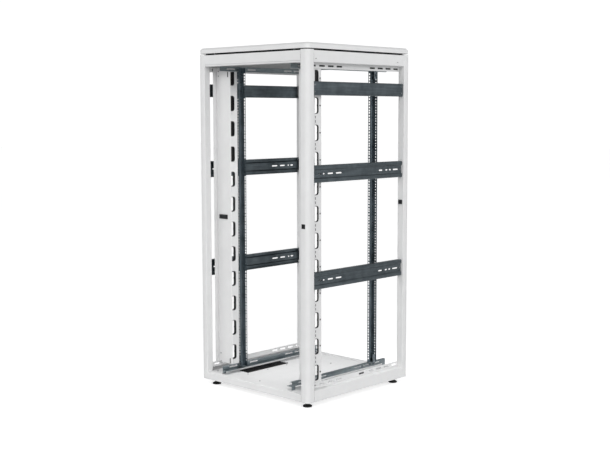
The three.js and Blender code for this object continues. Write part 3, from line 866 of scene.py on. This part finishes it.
def depth_rail(sign, level, bottom):
    """A slotted channel; the bottom ones have a wider ledge and stand on two feet."""
    outer = sign * DEPTH_OUTER
    first = sign * (DEPTH_LEDGE if bottom else DEPTH_INNER)
    top = level + DEPTH_HEIGHT
    path = [(first, level), (outer, level), (outer, top), (sign * DEPTH_INNER, top)]
    middle = level + DEPTH_HEIGHT / 2
    holes = [(1, slot((middle, y), DEPTH_SLOT)) for y in DEPTH_SLOTS_Y]
    shells = [folded(path, (-DEPTH_HALF, DEPTH_HALF), along_y, holes, thickness=sign * SHEET)]
    if bottom:
        for end in (-1, 1):
            ys = (end * (DEPTH_HALF - DEPTH_FOOT), end * DEPTH_HALF)
            foot = (FLOOR_TOP + GAP, level + 4)
            shells.append(block((outer - sign * SHEET, outer), ys, foot, 0.4))
    return shells


def hole_levels():
    first = RAIL_MIDDLE - UNITS / 2 * UNIT
    return [first + unit * UNIT + hole for unit in range(UNITS) for hole in UNIT_HOLES]


def mounting_rail(sign, end, face):
    """Z-section rail: square holes in its face, round holes and slots in its web and rear flange."""
    thickness = -sign * end * SHEET
    back = face + RAIL_STEP
    inner = [(sign * RAIL_INNER, end * face), (sign * RAIL_WEB, end * face), (sign * RAIL_WEB, end * back)]
    outer = (sign * RAIL_OUTER, end * back)
    levels = hole_levels()

    def squares(low, high):
        x = sign * RAIL_SQUARE_X
        half = RAIL_SQUARE / 2
        return [(0, rectangle(x - half, x + half, z - half, z + half)) for z in levels
                if low < z - half and z + half < high]

    flange_x = sign * RAIL_FLANGE_HOLE_X
    web_y = end * (face + RAIL_STEP / 2)
    flange_holes = []
    web_holes = []
    for i, z in enumerate(levels):
        if RAIL_LOW + RAIL_HOLE_MARGIN < z < RAIL_HIGH - RAIL_HOLE_MARGIN:
            size = RAIL_WEB_SLOT if i % len(UNIT_HOLES) == 1 else RAIL_WEB_HOLE
            flange_holes.append((2, slot((flange_x, z), RAIL_FLANGE_HOLE, 3)))
            web_holes.append((1, slot((web_y, z), size, 3)))
    holes = [*squares(RAIL_LOW, RAIL_HIGH), *flange_holes, *web_holes]
    shells = [folded([*inner, outer], (RAIL_LOW, RAIL_HIGH), upright, holes, thickness)]
    for low, high in ((RAIL_MIDDLE - RAIL_HALF, RAIL_LOW), (RAIL_HIGH, RAIL_MIDDLE + RAIL_HALF)):
        shells.append(folded(inner, (low, high), upright, squares(low, high), thickness))
    return shells


def web_hole_shade(sign, end, face):
    """A dark strip inside the sheet that closes the holes of the web: painted shade seen through the
    holes.
    """
    across = (sign * (RAIL_WEB + 0.7), sign * (RAIL_WEB + 1.3))
    web = (end * (face + 5), end * (face + RAIL_STEP - 5))
    return [block(across, web, (RAIL_LOW + 9, RAIL_HIGH - 9), 0.1)]


def rail_clamp(sign, end, face, bottom):
    """A bracket that holds a mounting rail to the outside of a depth rail."""
    outside = sign * (DEPTH_OUTER + GAP + SHEET)
    back = end * (face + RAIL_STEP - SHEET - GAP)
    low = DEPTH_LOW if bottom else DEPTH_HIGH + DEPTH_HEIGHT - CLAMP_HEIGHT
    high = low + CLAMP_HEIGHT
    flange = (RAIL_LOW + GAP, high) if bottom else (low, RAIL_HIGH - GAP)
    ledge = (low, flange[0]) if bottom else (flange[1], high)
    near = sign * (RAIL_WEB + SHEET + GAP)
    path = [(near, back), (outside, back), (outside, back - end * CLAMP_DEPTH)]
    hole = slot((back - end * CLAMP_SLOT_SET_BACK, sum(flange) / 2), CLAMP_SLOT)
    ys = (back - end * 3, back - end * CLAMP_DEPTH)
    return [
        folded(path, flange, upright, [(1, hole)], -sign * end * SHEET),
        block((outside - sign * SHEET, outside), ys, ledge, 0.4),
    ]


def clamp_bolt(sign, end, face, bottom):
    """The bolt that holds a clamp's lower or upper end to its depth rail."""
    x = sign * (DEPTH_OUTER + GAP + SHEET)
    y = end * (face + RAIL_STEP - CLAMP_SLOT_SET_BACK)
    z = (DEPTH_LOW if bottom else DEPTH_HIGH) + DEPTH_HEIGHT / 2
    return hex_bolt((x, y, z), OUTWARD[sign], 5.2, 3.2)


for side, sign in SIDES.items():
    for level, z in (("bottom", DEPTH_LOW), ("top", DEPTH_HIGH)):
        # painted light: the depth rails wear the lighter zinc copy in place of light from above
        node_piece(f"depth_rail_{level}_{side}", depth_rail(sign, z, level == "bottom"), ZINC_PAINTED_LIT)
    for place_name, end in ENDS.items():
        face = RAIL_FACE[place_name]
        body = f"rail_{place_name}_{side}"
        rail = f"mounting_rail_{place_name}_{side}"
        node_piece(rail, mounting_rail(sign, end, face), ZINC_UPRIGHT, body)
        piece(f"{rail}_web_hole_shade", web_hole_shade(sign, end, face), BLACK, body)
        heads = []
        for bottom in (True, False):
            clamp = f"rail_clamp_{place_name}_{side}_{'bottom' if bottom else 'top'}"
            node_piece(clamp, rail_clamp(sign, end, face, bottom), BRIGHT_ZINC, body)
            heads += clamp_bolt(sign, end, face, bottom)
        piece(f"{body}_bolts", heads, STEEL, body)


# ---------- side bars ----------


def plain_bar(sign):
    low, high = PLAIN_BAR
    outer, inner = sign * PLAIN_OUTER, sign * PLAIN_INNER
    path = [(inner, low), (outer, low), (outer, high), (inner, high)]
    return [folded(path, (-BAR_HALF, BAR_HALF), along_y, thickness=sign * SHEET, radius=4.0)]


def hat_bar(sign, low):
    """A bar with a wide groove along its face, slotted in the groove and closed at both ends."""
    high = low + HAT_HEIGHT
    middle = low + HAT_HEIGHT / 2
    outer, groove, inner = sign * HAT_OUTER, sign * HAT_GROOVE, sign * HAT_INNER
    flat, slope = HAT_FLAT, HAT_FLAT + HAT_SLOPE
    path = [(inner, low), (outer, low), (outer, low + flat), (groove, low + slope),
            (groove, high - slope), (outer, high - flat), (outer, high), (inner, high)]
    holes = [(3, slot((middle, sign * y), (HAT_SLOT_WIDTH, length))) for y, length in HAT_SLOTS]
    shells = [folded(path, (-BAR_HALF, BAR_HALF), along_y, holes, sign * SHEET, 3.0)]
    for end in (-1, 1):
        ys = (end * (BAR_HALF - SHEET), end * BAR_HALF)
        shells.append(block((inner, groove), ys, (middle - HAT_END / 2, middle + HAT_END / 2), 0.3))
    return shells


frame_screws = []
for side, sign in SIDES.items():
    node_piece(f"side_bar_upper_{side}", plain_bar(sign), ZINC)
    for end in (-1, 1):
        for rise in (-17, 17):
            at = (sign * PLAIN_OUTER, end * PLAIN_SCREW_Y, sum(PLAIN_BAR) / 2 + rise)
            frame_screws.append(screw(at, OUTWARD[sign], 4.0, 2.0))
    for name, low in HAT_LEVELS.items():
        node_piece(f"side_bar_{name}_{side}", hat_bar(sign, low), ZINC)
        for end in (-1, 1):
            at = (sign * HAT_GROOVE, end * HAT_SCREW_Y, low + HAT_HEIGHT / 2)
            frame_screws.append(screw(at, OUTWARD[sign], 4.5, 2.2))


# ---------- cable ducts ----------


def window_levels(side):
    return [WINDOW_MIDDLE[side] + (i - (WINDOWS - 1) / 2) * WINDOW_PITCH for i in range(WINDOWS)]


def dash_levels(side):
    """The two clips between each window of a duct and the next one."""
    between = [level + WINDOW_PITCH / 2 for level in window_levels(side)[:-1]]
    return [level + rise for level in between for rise in (-DASH_RISE, DASH_RISE)]


def window(level):
    low, high = level - WINDOW_HALF, level + WINDOW_HALF
    points = [(WINDOW_FRONT, low), (WINDOW_REAR, low), (WINDOW_REAR, high), (WINDOW_FRONT, high)]
    radii = [1.5, WINDOW_RADIUS, WINDOW_RADIUS, 1.5]
    return [(p.x, p.y) for p in rounded(points, radii, True, 6)]


def cable_duct(side, sign):
    """A channel open to the rear; its inner corner is cut away at the top for the depth rail."""
    inner, outer = sign * DUCT_INNER, sign * DUCT_OUTER
    path = [(inner, -DUCT_REAR), (inner, -DUCT_FACE), (outer, -DUCT_FACE), (outer, -DUCT_REAR)]
    holes = []
    for level in window_levels(side):
        holes += [(wall, window(level)) for wall in (0, 2)]
        holes.append((2, slot((RIVET_Y, level), (RIVET_HOLE, RIVET_HOLE), 3)))
    holes += [(2, slot((DASH_Y, level), DASH, 3)) for level in dash_levels(side)]
    slit_xs = sorted(sign * x for x in SLIT_X)
    holes.append((1, rectangle(*slit_xs, DUCT_LOW + 1.5, DUCT_LOW + SLIT_LENGTH)))
    holes.append((1, rectangle(*slit_xs, NOTCH_HIGH - SLIT_LENGTH, NOTCH_HIGH - 1.5)))
    bite = (1, sign * NOTCH_X, NOTCH_HIGH)
    channel = folded(path, (DUCT_LOW, DUCT_HIGH), upright, holes, sign * SHEET, bite=bite)
    lip = block((outer - sign * SHEET, outer), (-DUCT_LIP, -DUCT_FACE + 1), (DUCT_LOW, DUCT_HIGH), 0.5)
    return [channel, lip]


def window_black_rim(level, across, cut):
    """A black rim round a window and a black block at its catch, between two faces of the wall."""
    front, rear = WINDOW_FRONT + 0.2, WINDOW_REAR + 0.2
    low, high = level - WINDOW_HALF - 0.2, level + WINDOW_HALF + 0.2
    path = [(front, low), (rear, low), (rear, high), (front, high)]
    if cut and high > NOTCH_HIGH:
        path = [*path[:2], (rear, NOTCH_HIGH - 1)]
    return [
        folded(path, across, along_x, thickness=2.4, radius=WINDOW_RADIUS - 1),
        block(across, (rear - 4.5, rear), (level - 4, level + 4), 1.0),
    ]


def window_rivet(sign, level):
    rivet = lathe([(0, -4), (2.8, -4), (2.8, 0), (4.2, 0.2), (3.6, 1.4), (0, 1.9)], 16)
    return aimed(rivet, (sign * DUCT_OUTER, RIVET_Y, level), OUTWARD[sign])


def duct_black_parts_and_shade(side, sign):
    """The black parts of a duct: rims round the windows in both walls, rivets, clips, and strips behind
    the slits that are painted shade.
    """
    inner, outer = sign * DUCT_INNER, sign * DUCT_OUTER
    in_inner = sorted((inner - sign, inner + sign * 15))
    in_outer = sorted((outer + sign, outer - sign * 8))
    levels = window_levels(side)
    shells = []
    for level in levels:
        shells += window_black_rim(level, in_inner, True)
    for level in levels:
        shells += [*window_black_rim(level, in_outer, False), window_rivet(sign, level)]
    ys = (DASH_Y - DASH[0] / 2, DASH_Y + DASH[0] / 2)
    for level in dash_levels(side):
        zs = (level - DASH[1] / 2, level + DASH[1] / 2)
        shells.append(block((outer + sign * 0.6, outer - sign * 8), ys, zs, 0.8))
    # painted shade: black strips behind the slits stand for the shade inside the duct
    slit_xs = (sign * (SLIT_X[0] + 0.4), sign * (SLIT_X[1] - 0.4))
    for low in (DUCT_LOW + 2, NOTCH_HIGH - SLIT_LENGTH + 0.5):
        zs = (low, low + SLIT_LENGTH - 2.5)
        shells.append(block(slit_xs, (-DUCT_FACE + 0.6, -DUCT_FACE + 4), zs, 0.3))
    return shells


def top_window_shade_fills(side, sign):
    """Split black blocks that close the top windows: four on the left, one on the right. They are painted
    shade seen through these windows.
    """
    closed, across, top = {
        "left": (4, (DUCT_INNER + 9.0, DUCT_INNER + 10.5), NOTCH_HIGH - 2),
        "right": (1, (DUCT_OUTER - 4.5, DUCT_OUTER - 3.0), DUCT_HIGH),
    }[side]
    xs = [sign * x for x in across]
    half = WINDOW_HALF - 1.4
    shells = []
    for level in window_levels(side)[-closed:]:
        zs = (level - half, min(level + half, top))
        for ys in ((-304.0, -292.0), (-291.4, -280.6)):
            shells.append(block(xs, ys, zs, 0.5))
    return shells


for side, sign in SIDES.items():
    node_piece(f"cable_duct_{side}", cable_duct(side, sign), PAINT)
    piece(f"cable_duct_{side}_black_parts_and_shade", duct_black_parts_and_shade(side, sign), BLACK)
    piece(f"cable_duct_{side}_window_shade_fills", top_window_shade_fills(side, sign), RUBBER_AND_SHADE)
    for z in DUCT_SCREWS_Z:
        frame_screws.append(screw((sign * DUCT_SCREW_X, -DUCT_FACE, z), "-y", 3.6, 1.8))


# ---------- lock plates ----------


def lock_plate(width, height, thickness):
    """A moulded plate with a recess, drawn facing -Y with its back on Y = 0."""
    rim = 5.0
    shells = [block((-width / 2, width / 2), (-thickness * 0.5, 0), (0, height), 0.8)]
    for xs in ((-width / 2, -width / 2 + rim), (width / 2 - rim, width / 2)):
        shells.append(block(xs, (-thickness, 0), (0, height), 0.8))
    for zs in ((0, rim), (height - rim, height)):
        shells.append(block((-width / 2, width / 2), (-thickness, 0), zs, 0.8))
    return shells


lock = [shifted(s, LOCK_PLATE_X, -DUCT_FACE - GAP, LOCK_PLATE_LOW) for s in lock_plate(*LOCK_PLATE)]
lock_middle = LOCK_PLATE_LOW + LOCK_PLATE[1] / 2
for dx in (-20.0, 20.0):
    lock.append(screw((LOCK_PLATE_X + dx, -DUCT_FACE - GAP - 2.4, lock_middle), "-y", 3.2, 1.8))
node_piece("lock_plate_left_duct", lock, BLACK)
for place_name, size, x, y, z in (
    ("front", FRONT_STRIKE, FRONT_STRIKE_X, -HALF + FRONT_STRIKE[2] + STRIKE_PLAY, FRONT_STRIKE_LOW),
    ("rear", REAR_STRIKE, REAR_STRIKE_X, HALF - POST - GAP, REAR_STRIKE_LOW),
):
    strike = [shifted(s, x, y, z) for s in lock_plate(*size)]
    node_piece(f"lock_plate_{place_name}_post", strike, BLACK)


# ---------- floor ----------


def floor_outline(end, inner):
    """Half of the floor with its outer corners cut off."""
    outer = end * FLOOR_Y
    cut = end * (FLOOR_Y - FLOOR_CORNER)
    x = FLOOR_X - FLOOR_CORNER
    return [(-FLOOR_X, inner), (-FLOOR_X, cut), (-x, outer), (x, outer), (FLOOR_X, cut), (FLOOR_X, inner)]


def shrunk(box, gap):
    x0, x1, y0, y1 = box
    return rectangle(x0 + gap, x1 - gap, y0 + gap, y1 - gap)


upper = (FLOOR_TOP - SHEET, FLOOR_TOP)
under = (FLOOR_TOP - 2 * SHEET, FLOOR_TOP - SHEET)
for node, outline, levels, openings in (
    ("floor_panel_main", floor_outline(-1, FLOOR_SPLIT), upper, [rectangle(*ENTRY)]),
    ("floor_panel_rear", floor_outline(1, FLOOR_SPLIT + GAP), under, []),
    ("cable_entry_plate", shrunk(ENTRY, GAP), under, [rectangle(*BRUSH)]),
):
    node_piece(node, [plate(outline, levels, openings)], PAINT)


def brush_shells():
    """Two combs of bristles that meet in the middle of the opening, each held in a rail."""
    x0, x1, y0, y1 = BRUSH
    z = FLOOR_TOP - 2 * SHEET
    draw = random.Random(7)
    shells = []
    middle = (x0 + x1) / 2
    for edge, sign in ((x0 + GAP, 1), (x1 - GAP, -1)):
        shells.append(block((edge, edge + sign * 7), (y0 + GAP, y1 - GAP), (z, z + 6), 0.8))
        y = y0 + 2.0
        while y < y1 - 3.0:
            height = z + 2.4 + draw.uniform(-0.5, 0.9)
            reach = middle + sign * draw.uniform(-0.5, 2.5)
            shells.append(block((edge + sign * 5, reach), (y, y + 1.5), (height, height + 1.4), 0))
            y += 1.9
    shells.append(block((x0 + 6, x1 - 6), (y0 + GAP, y1 - GAP), (z + 0.2, z + 1.6), 0))
    return shells


node_piece("entry_brush", brush_shells(), BRISTLE)
for (xs, ys), z in ((ENTRY_SCREWS, FLOOR_TOP - SHEET), (FLOOR_SCREWS, FLOOR_TOP)):
    frame_screws += [screw((x, y, z), "z", 3.6, 1.8) for x in xs for y in ys]


# ---------- corner plates and levelling feet ----------


def foot_pad():
    return lathe([
        (0, 0), (22.4, 0), (23.6, 0.7), (24, 1.8), (23.6, 5.2), (22.6, 7.0), (20.4, 8.3), (17, 9.0),
        (12.6, 9.6), (11.8, 10.6), (11.4, 13.2), (10.8, 14), (6.4, 14), (6.4, 9.2), (0, 9.2),
    ], 48)


def threaded_stud(count=24, per_turn=6, root=1.1, crest=0.95, run_out=1.5):
    """A right-hand metric thread, its lower end in the pad's socket, and a hexagon nut."""
    low, high = STUD_LOW, STUD_TOP
    rows = int((high - low) / PITCH * per_turn)
    vertices = []
    for row in range(rows + 1):
        z = low + (high - low) * row / rows
        for i in range(count):
            phase = (z / PITCH - i / count) % 1.0
            depth = crest * abs(2 * phase - 1)
            taper = min(1.0, (z - low) / run_out, (high - z) / run_out)
            r = STUD_RADIUS - root + (root - depth) * taper
            a = 2 * math.pi * i / count
            vertices.append((r * math.cos(a), r * math.sin(a), z))
    ends = [[first * count + i for i in range(count)] for first in (0, rows)]
    nut = lathe([(0, 16), (10.2, 16), (11, 16.8), (11, 23.2), (10.2, 24), (0, 24)], 6)
    return [(vertices, [*bands(rows + 1, count), *ends]), nut]


def corner_plate():
    """The plate that a foot screws into and its bolts, in the front left corner."""
    reach, outer, notch = PLATE_REACH, PLATE_EDGE, POST + GAP
    outline = [(notch, outer), (reach, outer), (reach, reach), (outer, reach), (outer, notch),
               (notch, notch)]
    centre = HALF - FOOT
    bore = 2 * STUD_RADIUS + 0.6
    shell = plate(outline, (PLATE_LOW, PLATE_HIGH), [slot((centre, centre), (bore, bore), 8)])
    bolts = [b for x, y in PLATE_BOLTS for b in hex_bolt((x, y, PLATE_HIGH), "z", 5.5, 3.5)]
    return shifted(shell, -HALF, -HALF, 0), [shifted(b, -HALF, -HALF, 0) for b in bolts]


plate_shell, plate_bolts = corner_plate()
pad, stud = foot_pad(), threaded_stud()
for corner, (sx, sy, quarters) in CORNERS.items():
    x, y = sx * FOOT, sy * FOOT
    node_piece(f"corner_plate_{corner}", [turned(plate_shell, quarters)], ZINC)
    piece(f"corner_plate_{corner}_bolts", [turned(b, quarters) for b in plate_bolts], STEEL)
    node_piece(f"foot_pad_{corner}", [shifted(pad, x, y, 0)], RUBBER_AND_SHADE, f"foot_{corner}")
    node_piece(f"foot_stud_{corner}", [shifted(s, x, y, 0) for s in stud], STEEL, f"stud_{corner}")

piece("frame_screws", frame_screws, STEEL)


# ---------- camera, floor and light ----------


def camera():
    data = bpy.data.cameras.new("camera")
    data.sensor_fit = "HORIZONTAL"
    data.sensor_width = 36.0
    data.lens = 63.5902
    data.clip_end = 100.0
    obj = bpy.data.objects.new("camera", data)
    obj.location = (4.0069, -4.2145, 1.4723)
    obj.rotation_euler = (math.pi / 2 - 0.1026, 0.0019, 0.7597)
    bpy.context.scene.collection.objects.link(obj)
    bpy.context.scene.camera = obj


def room_floor():
    half = 40.0
    mesh = bpy.data.meshes.new("room_floor")
    corners = [(x, y, 0) for x, y in rectangle(-half, half, -half, half)]
    mesh.from_pydata(corners, [], [(0, 1, 2, 3)])
    material, tree, shader = node_material("room_floor")
    tint = ramp(tree, noise(tree, 3.0), [(0.3, grey(0.62)), (0.7, grey(0.64))])
    tree.links.new(tint, shader.inputs["Base Color"])
    shader.inputs["Roughness"].default_value = 0.9
    shader.inputs["Specular IOR Level"].default_value = 0.1
    shader.inputs["Emission Color"].default_value = (1, 1, 1, 1)
    path = tree.nodes.new("ShaderNodeLightPath")
    glow = tree.nodes.new("ShaderNodeMapRange")
    glow.inputs["To Min"].default_value = 0.16
    glow.inputs["To Max"].default_value = 0.695
    tree.links.new(path.outputs["Is Camera Ray"], glow.inputs["Value"])
    tree.links.new(glow.outputs["Result"], shader.inputs["Emission Strength"])
    mesh.materials.append(material)
    obj = bpy.data.objects.new("room_floor", mesh)
    bpy.context.scene.collection.objects.link(obj)


def area(name, at, size, power, aim=(0, 0, 0.9), glossy=True, spread=180):
    """A soft rectangular light; the camera never sees the light itself."""
    data = bpy.data.lights.new(name, "AREA")
    data.shape = "RECTANGLE"
    data.size, data.size_y = size
    data.energy = power
    data.spread = math.radians(spread)
    obj = bpy.data.objects.new(name, data)
    obj.location = at
    obj.rotation_euler = (Vector(aim) - Vector(at)).to_track_quat("-Z", "Y").to_euler()
    obj.visible_camera = False
    obj.visible_glossy = glossy
    bpy.context.scene.collection.objects.link(obj)


def sun(name, direction, strength, angle):
    data = bpy.data.lights.new(name, "SUN")
    data.energy = strength
    data.angle = math.radians(angle)
    obj = bpy.data.objects.new(name, data)
    obj.rotation_euler = Vector(direction).to_track_quat("-Z", "Y").to_euler()
    obj.visible_glossy = False
    bpy.context.scene.collection.objects.link(obj)


def surroundings():
    """White to the camera, soft grey light from above and in front for everything else."""
    world = bpy.data.worlds.new("studio")
    bpy.context.scene.world = world
    world.use_nodes = True
    tree = world.node_tree
    tree.nodes.clear()
    output = tree.nodes.new("ShaderNodeOutputWorld")
    mix = tree.nodes.new("ShaderNodeMixShader")
    path = tree.nodes.new("ShaderNodeLightPath")
    white = tree.nodes.new("ShaderNodeBackground")
    white.inputs["Color"].default_value = (1, 1, 1, 1)
    white.inputs["Strength"].default_value = 1.05
    soft = tree.nodes.new("ShaderNodeBackground")
    soft.inputs["Strength"].default_value = 0.62
    coordinates = tree.nodes.new("ShaderNodeTexCoord")
    split = tree.nodes.new("ShaderNodeSeparateXYZ")
    tree.links.new(coordinates.outputs["Generated"], split.inputs["Vector"])
    horizon, low_sky, top_sky = (0.80, 0.83, 0.85), (0.86, 0.88, 0.90), grey(0.36)
    sky = ramp(tree, split.outputs["Z"], [(0.0, horizon), (0.3, low_sky), (0.75, top_sky)])
    sides = ramp(tree, split.outputs["Y"], [(0.0, grey(0.62)), (0.5, grey(1.0))])
    panels = tree.nodes.new("ShaderNodeTexNoise")
    panels.inputs["Scale"].default_value = 7.0
    tree.links.new(coordinates.outputs["Generated"], panels.inputs["Vector"])
    patches = ramp(tree, panels.outputs["Fac"], [(0.36, grey(0.5)), (0.64, grey(1.4))])
    tree.links.new(multiplied(tree, multiplied(tree, sky, sides), patches), soft.inputs["Color"])
    tree.links.new(path.outputs["Is Camera Ray"], mix.inputs["Fac"])
    tree.links.new(soft.outputs["Background"], mix.inputs[1])
    tree.links.new(white.outputs["Background"], mix.inputs[2])
    tree.links.new(mix.outputs["Shader"], output.inputs["Surface"])


camera()
room_floor()
surroundings()
sun("key", (-0.76, 0.74, -0.62), 1.66, 50)
area("front_fill", (-1.0, -4.4, 3.0), (3.0, 3.0), 62, aim=(0, 0, 1.3), glossy=False)
area("side_fill", (4.3, 0.6, 3.0), (3.0, 3.0), 48, aim=(0, 0, 1.3))
area("inner_fill", (0, 0, 1.66), (0.44, 0.6), 3, aim=(0, 0.001, 0), glossy=False, spread=80)
bpy.context.scene.view_settings.view_transform = "Standard"
